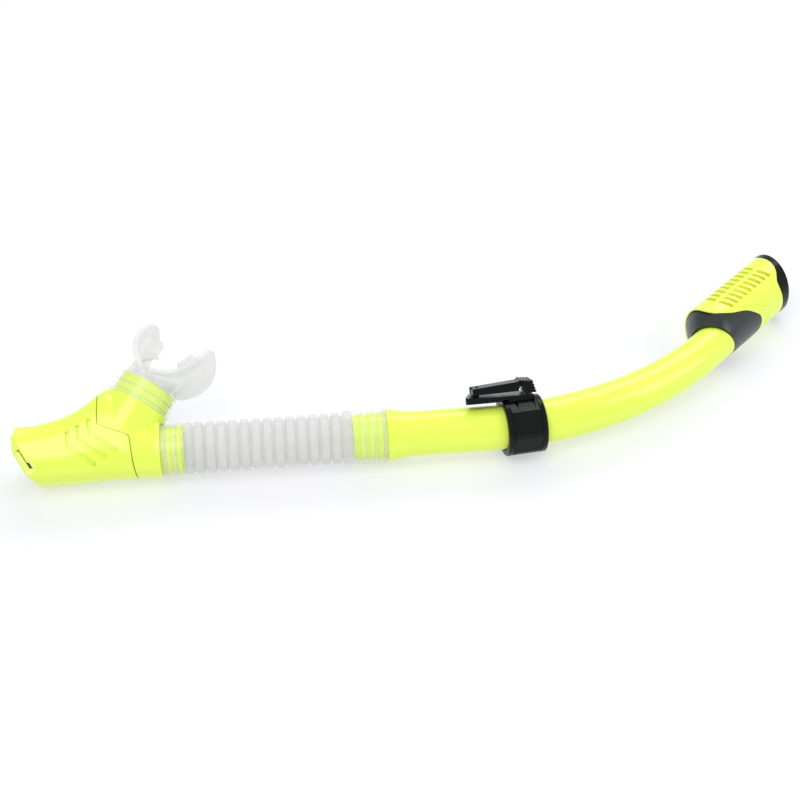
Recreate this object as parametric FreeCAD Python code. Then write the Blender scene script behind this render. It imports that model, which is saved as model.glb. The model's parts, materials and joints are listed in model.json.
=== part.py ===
import FreeCAD, Part
import math
import os

from FreeCAD import Placement, Rotation, Vector

# Dry-top snorkel lying on a table. Lengths in millimetres, angles in degrees.
# Row frame: +X runs along the straight stretch of the tube from the mouthpiece end
# to the dry top, the tube's bend turns towards +Y, and +Z is up from the table.
# Every piece is drawn in a frame of its own and put in its place when it is saved:
#   tube frame     x along the straight tube's axis, origin on it below the keeper
#   chamber frame  x along the tube's axis, origin at the chamber's end face,
#                  y towards the mouthpiece, z across the chamber
#   port frame     x out of the mouthpiece port along its axis
#   keeper frame   x along the bent tube where the keeper sits
#   clip frame     the keeper frame turned so that z points out through the clip
#   head frame     x along the dry top's axis, y towards the inside of the bend

# Whole object
ORIGIN_X = -48.7
ORIGIN_Y = 58.2
AXIS_Z = 17.8

# Upper tube
TUBE_R = 12.5
TUBE_BORE_R = 10.3
BEND_START_X = -24.0
BEND_R = 205.0
BEND_TURN = 42.8
TAPER_FROM = 18.0
TAPER_SECTIONS = 5
TOP_R = 11.5
TOP_RUN = 17.1
PLUG_R = 9.9
PLUG_BORE_R = 8.5
PLUG_LENGTH = 5.0
SHOULDER_X = -78.0
FLARE_END_X = -64.0
FLARE_R = 14.4
UPPER_SPIGOT_X = -97.0
SPIGOT_R = 12.3
RIB_R = 13.2
RIB_WIDTH = 2.2
UPPER_RIBS_X = (-93.0, -88.0, -83.0)

# Corrugated silicone tube
CHAMBER_X = -202.0
CUFF_GAP = 0.4
LOWER_CUFF_END_X = -184.5
UPPER_CUFF_START_X = -103.0
LOWER_CUFF_R = 14.3
UPPER_CUFF_R = 14.9
CUFF_LIP_R = 15.1
CUFF_BORE_R = 13.28
CREST_R = 14.15
GROOVE_R = 12.4
FLEX_WALL = 1.5
CREST_COUNT = 13
CREST_LAND = 0.56
CREST_FLANK = 0.10

# Chamber
CHAMBER_ROLL = 37.0
SHELL_WALL = 1.8
SQUARENESS = 2.6
SECTION_POINTS = 16
# x, middle height, half height and half depth of the chamber's outside
CHAMBER_SECTIONS = (
    (-84.0, 1.5, 15.5, 15.8),
    (-74.0, 1.2, 16.2, 16.8),
    (-62.0, 1.6, 16.9, 17.3),
    (-52.0, 3.0, 18.2, 17.5),
    (-43.0, 5.2, 20.2, 17.6),
    (-34.0, 8.7, 23.1, 17.6),
    (-27.0, 10.4, 24.8, 17.4),
    (-15.0, 3.4, 17.8, 16.6),
    (-6.0, 0.3, 14.8, 14.8),
    (0.0, 0.0, 14.3, 14.3),
)
NOSE_OUTLINE = (
    (10.0, -40.0),
    (-54.0, -40.0),
    (-65.0, -16.6),
    (-72.6, -9.8),
    (-79.2, 2.0),
    (-80.1, 10.0),
    (-76.5, 17.0),
    (-60.0, 30.0),
    (10.0, 60.0),
)
NOSE_ROUND = 4.0
NOSE_EDGE_R = 9.5
NOSE_HALF_DEPTH = 18.0
SEAM_OUTLINE = ((-32.2, 60.0), (-32.2, 13.2), (-15.4, 6.4), (-14.2, -8.0), (-9.0, -40.0))
SEAM_ROUND = 3.0
SEAM_GAP = 0.7
BULKHEAD = 2.4
CHAMBER_BORE_R = 11.0
CHAMBER_SPIGOT_LENGTH = 12.5
CUFF_CLEARANCE = 0.4
CHAMBER_RIBS_X = (3.4, 9.2)
PURGE_SLEEVE_R = 12.2
PURGE_SLEEVE_BORE_R = 10.6
PURGE_SLEEVE_X = -48.0
LIP_REACH = 4.0
LIP_WALL = 1.2
LIP_GAP = 0.1

# Slots of the purge cover
CHEVRON_COUNT = 3
CHEVRON_ELBOW = (-36.1, 7.8)
CHEVRON_STEP = (-5.85, -3.1)
CHEVRON_UPPER_LEG = (-0.8, 7.8)
CHEVRON_LOWER_LEG = (12.8, -9.4)
CHEVRON_WIDTH = 2.2
GROOVE_DEPTH = 1.3
LOUVRE_COUNT = 7
LOUVRE_PITCH = 5.0
LOUVRE_WIDTH = 3.0
LOUVRE_LENGTH = 15.0
LOUVRE_FROM = 1.5

# Mouthpiece port
PORT_X = -29.0
PORT_ANGLE = 57.0
PORT_ROOT = 8.0
PORT_ROOT_R = 17.4
PORT_SHOULDER = 31.5
PORT_SHOULDER_R = 17.8
PORT_END = 43.5
PORT_SPIGOT_R = 15.6
PORT_RIB_R = 16.2
PORT_RIBS = (34.4, 38.6)
PORT_BORE_R = 14.0

# Purge valve
SEAT_THICKNESS = 2.2
SEAT_WINDOW_R = 9.4
SEAT_HUB_R = 2.7
SEAT_HOLE_R = 1.3
SPOKE_COUNT = 6
SPOKE_WIDTH = 1.6
DIAPHRAGM_R = 10.8
DIAPHRAGM_THICKNESS = 0.8
STEM_R = 1.22
STEM_BARB_R = 1.9

# Mouthpiece
SWIVEL = 71.0
COLLAR_BORE_R = 16.3
COLLAR_TIERS = ((31.8, 35.6, 18.4), (35.6, 39.6, 17.8), (39.6, 44.2, 17.2))
NECK_TOP = 57.0
NECK_HALF_WIDTH = 16.5
NECK_HALF_HEIGHT = 8.6
AIRWAY_HALF_WIDTH = 13.0
AIRWAY_HALF_HEIGHT = 7.0
ARCH_CENTRE = 69.2
ARCH_R = 22.7
SHIELD_TILT = -16.3
SHIELD_RISE = 0.9
FLANGE_WALL = 2.2
FLANGE_UP = 10.4
FLANGE_DOWN = 16.0
FLANGE_PAST_CENTRE = 8.5
FLANGE_ROUND = 10.0
# Height and side of the notch that leaves room for the chin side of the shield's middle
FLANGE_WAIST = ((-30.0, -15.5), (-17.0, -15.5), (-8.5, -4.0), (-8.5, 4.0), (-17.0, 15.5), (-30.0, 15.5))
FLANGE_WAIST_END = 60.0
BITE_REACH = 9.6
BITE_HALF_THICKNESS = 1.5
BITE_LIP_HALF_HEIGHT = 3.4
BITE_LIP_WIDTH = 1.8
BITE_BACK = -11.5
BITE_FRONT = 1.0

# Keeper
KEEPER_X = -2.2
KEEPER_LENGTH = 22.3
SLEEVE_BORE_R = 13.1
SLEEVE_R = 14.1
FLANGE_R = 16.3
FLANGE_WIDTH = 3.0
BAND_BORE_R = 14.2
BAND_APOTHEM = 15.9
BAND_CORNER_R = 16.7
BAND_GAP = 0.2
BAND_TURN = 94.5
BAND_SIDES = 8
NOTCHES_X = (-3.9, 5.7)
NOTCH_WIDTH = 3.4
NOTCH_DEPTH = 1.1
NOTCH_TOP = 6.0
NOTCH_TIP = -3.8

# Strap clip
CLIP_ANGLE = 60.0
PLATE_OUTLINE = (
    (-32.4, 16.8),
    (-12.4, 15.9),
    (-11.7, 16.7),
    (6.5, 16.7),
    (6.5, 18.0),
    (-11.9, 18.8),
    (-32.4, 20.5),
)
PLATE_PLAN = ((-32.4, -7.2), (7.0, -7.2), (7.0, 7.2), (-27.0, 7.2))
PLATE_ROUND = 1.6
PAD_X = (-7.5, 6.5)
PAD_HALF_WIDTH = 6.0
CLIP_PIVOT = (-25.0, 22.7)
CLIP_PIN_R = 0.9
CLIP_RUNNING = 0.06
LUG_R = 1.9
LUG_HALF_WIDTH = 1.8
LUG_GAP = 0.35
ARM_HALF_WIDTH = 4.2
THUMB_HALF_WIDTH = 6.0
ARM_OUTLINE = (
    (-27.1, 20.8),
    (-0.9, 20.2),
    (-0.2, 22.6),
    (0.6, 22.6),
    (2.6, 18.7),
    (8.4, 18.7),
    (8.6, 19.5),
    (7.0, 25.5),
    (0.9, 26.3),
    (-1.3, 25.4),
    (-27.1, 24.5),
)
THUMB_FROM_X = 0.5
THUMB_GROOVES = ((2.2, 26.2), (3.9, 26.0), (5.6, 25.75), (7.5, 23.9), (8.0, 22.0), (8.4, 20.4))
THUMB_GROOVE_R = 0.55

# Dry top
HEAD_AHEAD = 40.1
HEAD_ASIDE = 7.0
HEAD_R = 17.8
HEAD_WALL = 1.7
# x, outer side, inner side and half depth of the boot's rounded lower end
BOOT_SECTIONS = (
    (20.0, -17.8, 17.8, 17.8),
    (12.0, -17.8, 17.8, 17.8),
    (4.0, -17.8, 17.8, 17.8),
    (-4.0, -17.8, 17.8, 17.8),
    (-11.0, -17.8, 17.8, 17.8),
    (-16.0, -17.8, 17.8, 17.8),
    (-19.0, -17.8, 17.8, 17.8),
    (-21.5, -17.8, 17.2, 17.6),
    (-24.0, -17.8, 15.4, 16.9),
    (-27.0, -17.8, 12.9, 15.6),
    (-30.0, -17.8, 10.2, 14.0),
    (-33.0, -17.8, 7.0, 12.8),
    (-35.0, -17.8, 4.6, 12.1),
)
RIM_X = -24.5
RIM_Y = -18.0
RIM_SLOPE = -0.42
RIM_GAP = 0.05
FLOOR_X = (-18.0, -14.0)
CORE_X = -30.0
TONGUE_R = 16.95
TONGUE_REACH = 3.0
TONGUE_GAP = 0.1
HEAD_GAP = 0.25
# Where boot, cover and cap meet: x against y across the head, from the outside of the
# bend to its inside. Both lines run straight through the head in z.
BOOT_EDGE = (
    (9.8, -24.0),
    (9.2, -20.0),
    (7.6, -17.4),
    (4.0, -15.7),
    (-0.6, -13.5),
    (-6.2, -11.2),
    (-14.0, -8.7),
    (-21.5, -4.2),
    (-25.5, 0.5),
    (-26.0, 5.0),
    (-23.2, 13.3),
    (-22.0, 22.0),
)
CAP_EDGE = (
    (32.5, -22.0),
    (32.2, -16.5),
    (32.8, -11.4),
    (35.9, -8.7),
    (39.4, -5.5),
    (42.2, -1.3),
    (44.2, 3.8),
    (45.7, 8.9),
    (49.0, 15.0),
    (50.0, 22.0),
)
CAP_END_X = 48.0
CAP_SLANT = 20.0
CAP_DISC_R = 21.0
CAP_ROUND = 6.0
SLOT_COUNT = 9
SLOT_PITCH = 5.24
FIRST_SLOT_X = -11.7
SLOT_ROLL = 10.8
SLOT_LENGTH = 6.9
SLOT_WIDTH = 2.7
SLOT_MIDDLE_Y = 5.2
SLOT_SLANT = 18.0
TRIM_OFFSETS = (4.5, 8.0)
TRIM_WIDTH = 0.9
TRIM_DEPTH = 0.35

# Dry valve inside the dry top
INTAKE_Y = -5.5
INTAKE_R = 8.6
INTAKE_BORE_R = 7.2
INTAKE_TOP_X = 6.0
INTAKE_FLANGE_R = 10.0
INTAKE_FLANGE = 1.5
FLAP_PIVOT = (9.5, 4.6)
FLAP_OPEN = 25.0
FLAP_PIN_R = 1.0
FLAP_RUNNING = 0.06
FLAP_HUB_R = 2.2
FLAP_DISC_R = 8.2
FLAP_UNDERSIDE_X = 8.0
FLAP_THICKNESS = 1.8
SEAL_R = 8.4
SEAL_THICKNESS = 1.7
TAIL_HALF_WIDTH = 3.0
TAIL_END_Y = 13.0
EAR_Z = (6.0, 7.6)
FLOAT_FACE_Y = 7.6
FLOAT_R = 15.5
FLOAT_X = (-12.5, 1.5)
FLOAT_POST_Y = (10.2, 12.6)
FLOAT_POST_TOP_X = 3.7

X_AXIS = Vector(1, 0, 0)
Y_AXIS = Vector(0, 1, 0)
Z_AXIS = Vector(0, 0, 1)
NOWHERE = Vector(0, 0, 0)
FAR = 120.0


# ---------------------------------------------------------------- frames


def bend_point(angle, radius=BEND_R):
    """A point at an angle along the bend, in the tube frame."""
    turn = math.radians(angle)
    return Vector(BEND_START_X + radius * math.sin(turn), BEND_R - radius * math.cos(turn), 0)


KEEPER_TURN = math.degrees(math.asin((KEEPER_X - BEND_START_X) / BEND_R))
TUBE = Placement(Vector(-ORIGIN_X, -ORIGIN_Y, AXIS_Z), Rotation())
CHAMBER = TUBE * Placement(Vector(CHAMBER_X, 0, 0), Rotation(X_AXIS, CHAMBER_ROLL))
PORT = CHAMBER * Placement(Vector(PORT_X, 0, 0), Rotation(Z_AXIS, PORT_ANGLE))
MOUTH = PORT * Placement(NOWHERE, Rotation(X_AXIS, SWIVEL))
KEEPER = TUBE * Placement(bend_point(KEEPER_TURN), Rotation(Z_AXIS, KEEPER_TURN))
CLIP = KEEPER * Placement(NOWHERE, Rotation(X_AXIS, CLIP_ANGLE - 90))
BEND_END = TUBE * Placement(bend_point(BEND_TURN), Rotation(Z_AXIS, BEND_TURN))
HEAD = BEND_END * Placement(Vector(HEAD_AHEAD, HEAD_ASIDE, 0), Rotation())


# ---------------------------------------------------------------- building blocks


def rod(x_from, x_to, radius, y=0.0, z=0.0):
    return Part.makeCylinder(radius, x_to - x_from, Vector(x_from, y, z), X_AXIS)


def pipe(x_from, x_to, outer, bore, y=0.0):
    return rod(x_from, x_to, outer, y).cut(rod(x_from - 1, x_to + 1, bore, y))


def box(x, y, z):
    """A box between pairs of x, y and z."""
    corner = Vector(x[0], y[0], z[0])
    return Part.makeBox(x[1] - x[0], y[1] - y[0], z[1] - z[0], corner)


def turned(outline):
    """A solid turned about the x axis from (x, radius) points."""
    points = [Vector(x, r, 0) for x, r in outline]
    face = Part.Face(Part.makePolygon(points + points[:1]))
    return face.revolve(NOWHERE, X_AXIS, 360)


def slab(outline, half_depth, plane="xy"):
    """A prism over a closed outline, as deep on both sides of its plane."""
    if plane == "xy":
        points = [Vector(a, b, -half_depth) for a, b in outline]
        depth = Vector(0, 0, 2 * half_depth)
    else:
        points = [Vector(a, -half_depth, b) for a, b in outline]
        depth = Vector(0, 2 * half_depth, 0)
    return Part.Face(Part.makePolygon(points + points[:1])).extrude(depth)


def rounded_slab(outline, half_depth, radius, corners):
    """A prism in the xy plane with the named corners of its outline rounded."""
    solid = slab(outline, half_depth)
    wanted = [outline[i] for i in corners]
    edges = [e for e in solid.Edges if stands_on(e, wanted)]
    return solid.makeFillet(radius, edges)


def stands_on(edge, points):
    """True if an edge runs in z through one of the points."""
    a, b = edge.Vertexes[0].Point, edge.Vertexes[-1].Point
    upright = math.hypot(a.x - b.x, a.y - b.y) < 1e-6
    return upright and any(math.hypot(a.x - x, a.y - y) < 1e-6 for x, y in points)


def stadium(start, end, width, z_from, z_to):
    """A round-ended bar between two points, standing in z."""
    run = Vector(end[0] - start[0], end[1] - start[1], 0)
    across = Vector(-run.y, run.x, 0).normalize() * (width / 2)
    low = Vector(start[0], start[1], z_from)
    corners = [low + across, low - across, low - across + run, low + across + run]
    height = Vector(0, 0, z_to - z_from)
    bar = Part.Face(Part.makePolygon(corners + corners[:1])).extrude(height)
    for x, y in (start, end):
        bar = bar.fuse(Part.makeCylinder(width / 2, z_to - z_from, Vector(x, y, z_from)))
    return bar


def save(name, shape, frame):
    """Puts a piece in its place in the row frame and writes its file."""
    placed = shape.copy()
    placed.Placement = frame * placed.Placement
    placed.exportStep("parts/" + name + ".step")
    middle = placed.BoundBox
    print(name, len(placed.Solids), placed.isValid(), round(placed.Volume, 1), middle)
    return placed


# ---------------------------------------------------------------- upper tube


def bent_rod(radius, turn_to, turn_from=0.0):
    """A round bar of one radius along part of the bend."""
    start = bend_point(turn_from)
    tangent = Rotation(Z_AXIS, turn_from).multVec(X_AXIS)
    face = Part.Face(Part.Wire(Part.makeCircle(radius, start, tangent)))
    return face.revolve(Vector(BEND_START_X, BEND_R, 0), Z_AXIS, turn_to - turn_from)


def tapered_bend():
    """The last part of the bend, which narrows towards the dry top."""
    rings = []
    for i in range(TAPER_SECTIONS):
        share = i / (TAPER_SECTIONS - 1)
        turn = TAPER_FROM + share * (BEND_TURN - TAPER_FROM)
        tangent = Rotation(Z_AXIS, turn).multVec(X_AXIS)
        radius = TUBE_R + share * (TOP_R - TUBE_R)
        rings.append(Part.Wire(Part.makeCircle(radius, bend_point(turn), tangent)))
    return Part.makeLoft(rings, True, False)


def flared_end():
    """The straight stretch with its bell-shaped lower end."""
    bell = Part.BSplineCurve()
    through = ((0.0, 1.0), (0.25, 0.86), (0.64, 0.30), (1.0, 0.0))
    points = []
    for along, flare in through:
        x = SHOULDER_X + along * (FLARE_END_X - SHOULDER_X)
        points.append(Vector(x, TUBE_R + flare * (FLARE_R - TUBE_R), 0))
    bell.interpolate(Points=points)
    start, foot = points[0], Vector(SHOULDER_X, 0, 0)
    end, tip = Vector(BEND_START_X, TUBE_R, 0), Vector(BEND_START_X, 0, 0)
    lines = [Part.makeLine(foot, start), bell.toShape(), Part.makeLine(points[-1], end)]
    lines += [Part.makeLine(end, tip), Part.makeLine(tip, foot)]
    return Part.Face(Part.Wire(lines)).revolve(NOWHERE, X_AXIS, 360)


def past_rim(shift=0.0):
    """All of the head beyond the slanted rim where the tube enters the boot."""
    outline = []
    for y in (-FAR / 2, FAR / 2):
        outline.append((RIM_X + RIM_SLOPE * (y - RIM_Y) + shift, y))
    outline += [(FAR, FAR / 2), (FAR, -FAR / 2)]
    return slab(outline, FAR / 2)


def from_head(shape):
    """Moves a shape drawn in the head frame into the tube frame."""
    moved = shape.copy()
    end = Placement(bend_point(BEND_TURN), Rotation(Z_AXIS, BEND_TURN))
    moved.Placement = end * Placement(Vector(HEAD_AHEAD, HEAD_ASIDE, 0), Rotation())
    return moved


def upper_tube():
    solid = flared_end().fuse(rod(UPPER_SPIGOT_X, SHOULDER_X + 1, SPIGOT_R))
    for x in UPPER_RIBS_X:
        solid = solid.fuse(rod(x, x + RIB_WIDTH, RIB_R))
    solid = solid.fuse([bent_rod(TUBE_R, TAPER_FROM), tapered_bend()])
    start, y = -HEAD_AHEAD, -HEAD_ASIDE
    end = start + TOP_RUN + PLUG_LENGTH
    run = rod(start, start + TOP_RUN, TOP_R, y).cut(past_rim(-RIM_GAP))
    solid = solid.fuse(from_head(run.fuse(rod(start, end, PLUG_R, y))))
    bore = rod(UPPER_SPIGOT_X - 1, BEND_START_X, TUBE_BORE_R)
    bore = bore.fuse(bent_rod(TUBE_BORE_R, BEND_TURN))
    foot = Vector(start, y, 0)
    throat = Part.makeCone(TUBE_BORE_R, PLUG_BORE_R, TOP_RUN / 2, foot, X_AXIS)
    throat = throat.fuse(rod(start + TOP_RUN / 2, end + 1, PLUG_BORE_R, y))
    return solid.cut(bore).cut(from_head(throat))


# ---------------------------------------------------------------- corrugated tube


def corrugation(inset):
    """Points of the corrugated stretch's outline, moved in by the wall."""
    pitch = (UPPER_CUFF_START_X - LOWER_CUFF_END_X) / (CREST_COUNT + 1)
    points = []
    for i in range(CREST_COUNT):
        middle = LOWER_CUFF_END_X + pitch * (i + 1)
        land, foot = pitch * CREST_LAND / 2, pitch * (CREST_LAND / 2 + CREST_FLANK)
        points.append((middle - foot, GROOVE_R - inset))
        points.append((middle - land, CREST_R - inset))
        points.append((middle + land, CREST_R - inset))
        points.append((middle + foot, GROOVE_R - inset))
    return points


def flex_tube():
    start = CHAMBER_X + CUFF_GAP
    end = SHOULDER_X - CUFF_GAP
    step = CHAMBER_X + CHAMBER_SPIGOT_LENGTH + CUFF_GAP
    outside = [(start, LOWER_CUFF_R), (LOWER_CUFF_END_X, LOWER_CUFF_R)]
    outside += corrugation(0.0)
    outside += [(UPPER_CUFF_START_X, UPPER_CUFF_R), (UPPER_SPIGOT_X, UPPER_CUFF_R)]
    outside += [(end, CUFF_LIP_R)]
    neck_r = GROOVE_R - FLEX_WALL
    inside = [(end, CUFF_BORE_R), (UPPER_SPIGOT_X - CUFF_GAP, CUFF_BORE_R)]
    inside += [(UPPER_SPIGOT_X - CUFF_GAP, neck_r), (UPPER_CUFF_START_X - 1, neck_r)]
    inside += corrugation(FLEX_WALL)[::-1]
    inside += [(LOWER_CUFF_END_X + 1, neck_r), (step, neck_r)]
    inside += [(step, CUFF_BORE_R), (start, CUFF_BORE_R)]
    return turned(outside + inside)


# ---------------------------------------------------------------- chamber


def squared_ring(x, middle, half_height, half_depth, squareness):
    """A closed ring across x, round or with its four sides flattened."""
    points = []
    for i in range(SECTION_POINTS):
        angle = 2 * math.pi * i / SECTION_POINTS
        up, across_it = math.cos(angle), math.sin(angle)
        reach = (abs(up) ** squareness + abs(across_it) ** squareness) ** (-1 / squareness)
        y = middle + half_height * up * reach
        points.append(Vector(x, y, half_depth * across_it * reach))
    ring = Part.BSplineCurve()
    ring.interpolate(Points=points, PeriodicFlag=True)
    return Part.Wire(ring.toShape())


def chamber_loft(inset):
    """The chamber's long outside, or the same moved in by a wall."""
    rings = []
    for x, middle, half_height, half_depth in CHAMBER_SECTIONS:
        size = (half_height - inset, half_depth - inset)
        rings.append(squared_ring(x, middle, *size, SQUARENESS))
    return Part.makeLoft(rings, True, False)


def cover_side(shift=0.0):
    """All that lies on the purge cover's side of the seam."""
    outline = [(x + shift, y) for x, y in SEAM_OUTLINE]
    outline += [(-FAR, SEAM_OUTLINE[-1][1]), (-FAR, SEAM_OUTLINE[0][1])]
    return rounded_slab(outline, FAR / 3, SEAM_ROUND, (1, 2))


def eased_block(start, end, inset):
    """A block with one face through two points, that face's long edges rounded."""
    half = NOSE_HALF_DEPTH - inset
    block = box((0, FAR), (-FAR, FAR), (-half, half))
    edges = [e for e in block.Edges if e.BoundBox.XMax < 1 and e.Length > FAR]
    block = block.makeFillet(NOSE_EDGE_R - inset, edges)
    turn = math.degrees(math.atan2(start[0] - end[0], end[1] - start[1]))
    block.Placement = Placement(Vector(*start, 0), Rotation(Z_AXIS, turn))
    return block


def nose(inset):
    """The chamber's side outline at its purge end, with the end's edges rounded."""
    middle = Vector(-40, 5, 0)
    shrink = 1 - inset / 34.0
    outline = []
    for x, y in NOSE_OUTLINE:
        outline.append((middle.x + (x - middle.x) * shrink, middle.y + (y - middle.y) * shrink))
    solid = rounded_slab(outline, FAR / 3, NOSE_ROUND, (2, 3, 4, 5, 6))
    for start, end in zip(outline[3:6], outline[4:7]):
        solid = solid.common(eased_block(start, end, inset))
    return solid


def chevrons(side):
    """The V-shaped grooves of one side of the cover."""
    legs = []
    z_from, z_to = sorted((side * 8.0, side * 22.0))
    for i in range(CHEVRON_COUNT):
        x = CHEVRON_ELBOW[0] + i * CHEVRON_STEP[0]
        y = CHEVRON_ELBOW[1] + i * CHEVRON_STEP[1]
        for leg_x, leg_y in (CHEVRON_UPPER_LEG, CHEVRON_LOWER_LEG):
            tip = (x + leg_x, y + leg_y)
            legs.append(stadium((x, y), tip, CHEVRON_WIDTH, z_from, z_to))
    return legs[0].fuse(legs[1:]).cut(chamber_loft(GROOVE_DEPTH))


def louvres():
    """Slots along the slanted end of the purge cover."""
    top, foot = Vector(*NOSE_OUTLINE[4], 0), Vector(*NOSE_OUTLINE[3], 0)
    along = (foot - top).normalize()
    inward = Vector(-along.y, along.x, 0)
    start, end = top + along * LOUVRE_FROM, top + along * (LOUVRE_FROM + LOUVRE_LENGTH)
    slots = []
    for i in range(LOUVRE_COUNT):
        z = (i - (LOUVRE_COUNT - 1) / 2) * LOUVRE_PITCH
        low = Vector(0, 0, z - LOUVRE_WIDTH / 2)
        corners = [start - inward * 3, end - inward * 3, end + inward * 6, start + inward * 6]
        corners = [c + low for c in corners]
        face = Part.Face(Part.makePolygon(corners + corners[:1]))
        slots.append(face.extrude(Vector(0, 0, LOUVRE_WIDTH)))
    return slots


def purge_cover():
    solid = chamber_loft(0).common(cover_side(-SEAM_GAP)).common(nose(0))
    solid = solid.cut(chamber_loft(SHELL_WALL).common(nose(SHELL_WALL)))
    for side in (1, -1):
        solid = solid.cut(chevrons(side))
    return solid.cut(louvres())


def in_port(shape):
    """A shape drawn along the port's axis, in the chamber frame."""
    moved = shape.copy()
    moved.Placement = Placement(Vector(PORT_X, 0, 0), Rotation(Z_AXIS, PORT_ANGLE))
    return moved


def cover_lip():
    """The inner lip on the body that the purge cover snaps over."""
    outer, inner = SHELL_WALL + LIP_GAP, SHELL_WALL + LIP_GAP + LIP_WALL
    ring = chamber_loft(outer).cut(chamber_loft(inner))
    return ring.common(cover_side(BULKHEAD / 2)).cut(cover_side(-LIP_REACH))


def chamber_body():
    cone_length = PORT_SHOULDER - PORT_ROOT
    root = Vector(PORT_ROOT, 0, 0)
    cone = Part.makeCone(PORT_ROOT_R, PORT_SHOULDER_R, cone_length, root, X_AXIS)
    solid = chamber_loft(0).fuse(in_port(cone)).cut(cover_side())
    solid = solid.cut(rod(0.0, FAR, LOWER_CUFF_R + CUFF_CLEARANCE))
    cavity = chamber_loft(SHELL_WALL).cut(cover_side(BULKHEAD))
    cavity = cavity.common(box((-FAR, -BULKHEAD), (-FAR, FAR), (-FAR, FAR)))
    solid = solid.cut(cavity)
    spigot = rod(-BULKHEAD, CHAMBER_SPIGOT_LENGTH, SPIGOT_R)
    for x in CHAMBER_RIBS_X:
        spigot = spigot.fuse(rod(x, x + RIB_WIDTH, RIB_R))
    collar = rod(PORT_SHOULDER - 1, PORT_END, PORT_SPIGOT_R)
    for x in PORT_RIBS:
        collar = collar.fuse(rod(x, x + RIB_WIDTH, PORT_RIB_R))
    sleeve = rod(PURGE_SLEEVE_X, -15.5, PURGE_SLEEVE_R)
    solid = solid.fuse([spigot, in_port(collar), sleeve])
    solid = solid.fuse(cover_lip())
    port_bore = in_port(rod(PORT_ROOT + 2, PORT_END + 1, PORT_BORE_R))
    airway = rod(-24.0, CHAMBER_SPIGOT_LENGTH + 1, CHAMBER_BORE_R - 0.4)
    purge_bore = rod(PURGE_SLEEVE_X - 1, -12.0, PURGE_SLEEVE_BORE_R)
    return solid.cut([port_bore, airway, purge_bore])


def purge_seat():
    end = PURGE_SLEEVE_X
    start = end - SEAT_THICKNESS
    solid = pipe(start, end, PURGE_SLEEVE_R, SEAT_WINDOW_R)
    solid = solid.fuse(rod(start, end, SEAT_HUB_R))
    for i in range(SPOKE_COUNT):
        spoke = box((start, end), (0.0, SEAT_WINDOW_R + 1), (-SPOKE_WIDTH / 2, SPOKE_WIDTH / 2))
        spoke.rotate(NOWHERE, X_AXIS, 360.0 * i / SPOKE_COUNT)
        solid = solid.fuse(spoke)
    return solid.cut(rod(start - 1, end + 1, SEAT_HOLE_R))


def purge_diaphragm():
    face = PURGE_SLEEVE_X - SEAT_THICKNESS - 0.05
    disc = rod(face - DIAPHRAGM_THICKNESS, face, DIAPHRAGM_R)
    barb_from = PURGE_SLEEVE_X + 1.9
    stem = rod(face - 0.4, barb_from + 0.5, STEM_R)
    barb = Part.makeCone(STEM_BARB_R, 0.8, 3.2, Vector(barb_from, 0, 0), X_AXIS)
    return disc.fuse([stem, barb])


# ---------------------------------------------------------------- mouthpiece


def oval(x, half_width, half_height):
    """A closed oval wire across the mouthpiece, wide in z."""
    ellipse = Part.Ellipse(NOWHERE, half_width, half_height)
    wire = Part.Wire(ellipse.toShape())
    turn = Rotation(Vector(0, 0, 1), Vector(0, 1, 0), Vector(1, 0, 0), "XYZ")
    wire.Placement = Placement(Vector(x, 0, 0), turn)
    return wire


def arch_slab(outer, inner, half_height, past):
    """A half ring round the mouth's centre, open away from the port."""
    ring = Part.makeCylinder(outer, 2 * half_height, Vector(ARCH_CENTRE, -half_height, 0), Y_AXIS)
    hole_height = 2 * half_height + 2
    hole_foot = Vector(ARCH_CENTRE, -half_height - 1, 0)
    ring = ring.cut(Part.makeCylinder(inner, hole_height, hole_foot, Y_AXIS))
    return ring.common(box((-FAR, ARCH_CENTRE + past), (-FAR, FAR), (-FAR, FAR)))


def mouth_flange():
    """The curved shield that sits between lips and gums, with round wing ends."""
    flange = arch_slab(ARCH_R, ARCH_R - FLANGE_WALL, FLANGE_DOWN, FLANGE_PAST_CENTRE)
    end = ARCH_CENTRE + FLANGE_PAST_CENTRE
    outline = [(0.0, -FLANGE_DOWN), (end, -FLANGE_DOWN), (end, FLANGE_UP), (0.0, FLANGE_UP)]
    flange = flange.common(rounded_slab(outline, FAR / 2, FLANGE_ROUND, (1, 2)))
    waist = [Vector(0, y, z) for y, z in FLANGE_WAIST]
    waist = Part.Face(Part.makePolygon(waist + waist[:1])).extrude(X_AXIS * FLANGE_WAIST_END)
    return flange.cut(waist)


def tilted(shape):
    """Leans a shape drawn straight ahead of the port the way the shield leans."""
    shape.rotate(Vector(ARCH_CENTRE - ARCH_R, 0, 0), Z_AXIS, SHIELD_TILT)
    shape.translate(Y_AXIS * SHIELD_RISE)
    return shape


def bite_tabs():
    """The two plates between the teeth, each with a lip along its inner edge."""
    inside = ARCH_R - FLANGE_WALL
    plate = arch_slab(inside + 0.6, inside - BITE_REACH, BITE_HALF_THICKNESS, BITE_FRONT)
    lip_inner = inside - BITE_REACH
    lip = arch_slab(lip_inner + BITE_LIP_WIDTH, lip_inner, BITE_LIP_HALF_HEIGHT, BITE_FRONT)
    span = (ARCH_CENTRE + BITE_BACK, ARCH_CENTRE + BITE_FRONT)
    return plate.fuse(lip).common(box(span, (-FAR, FAR), (-FAR, FAR)))


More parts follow.
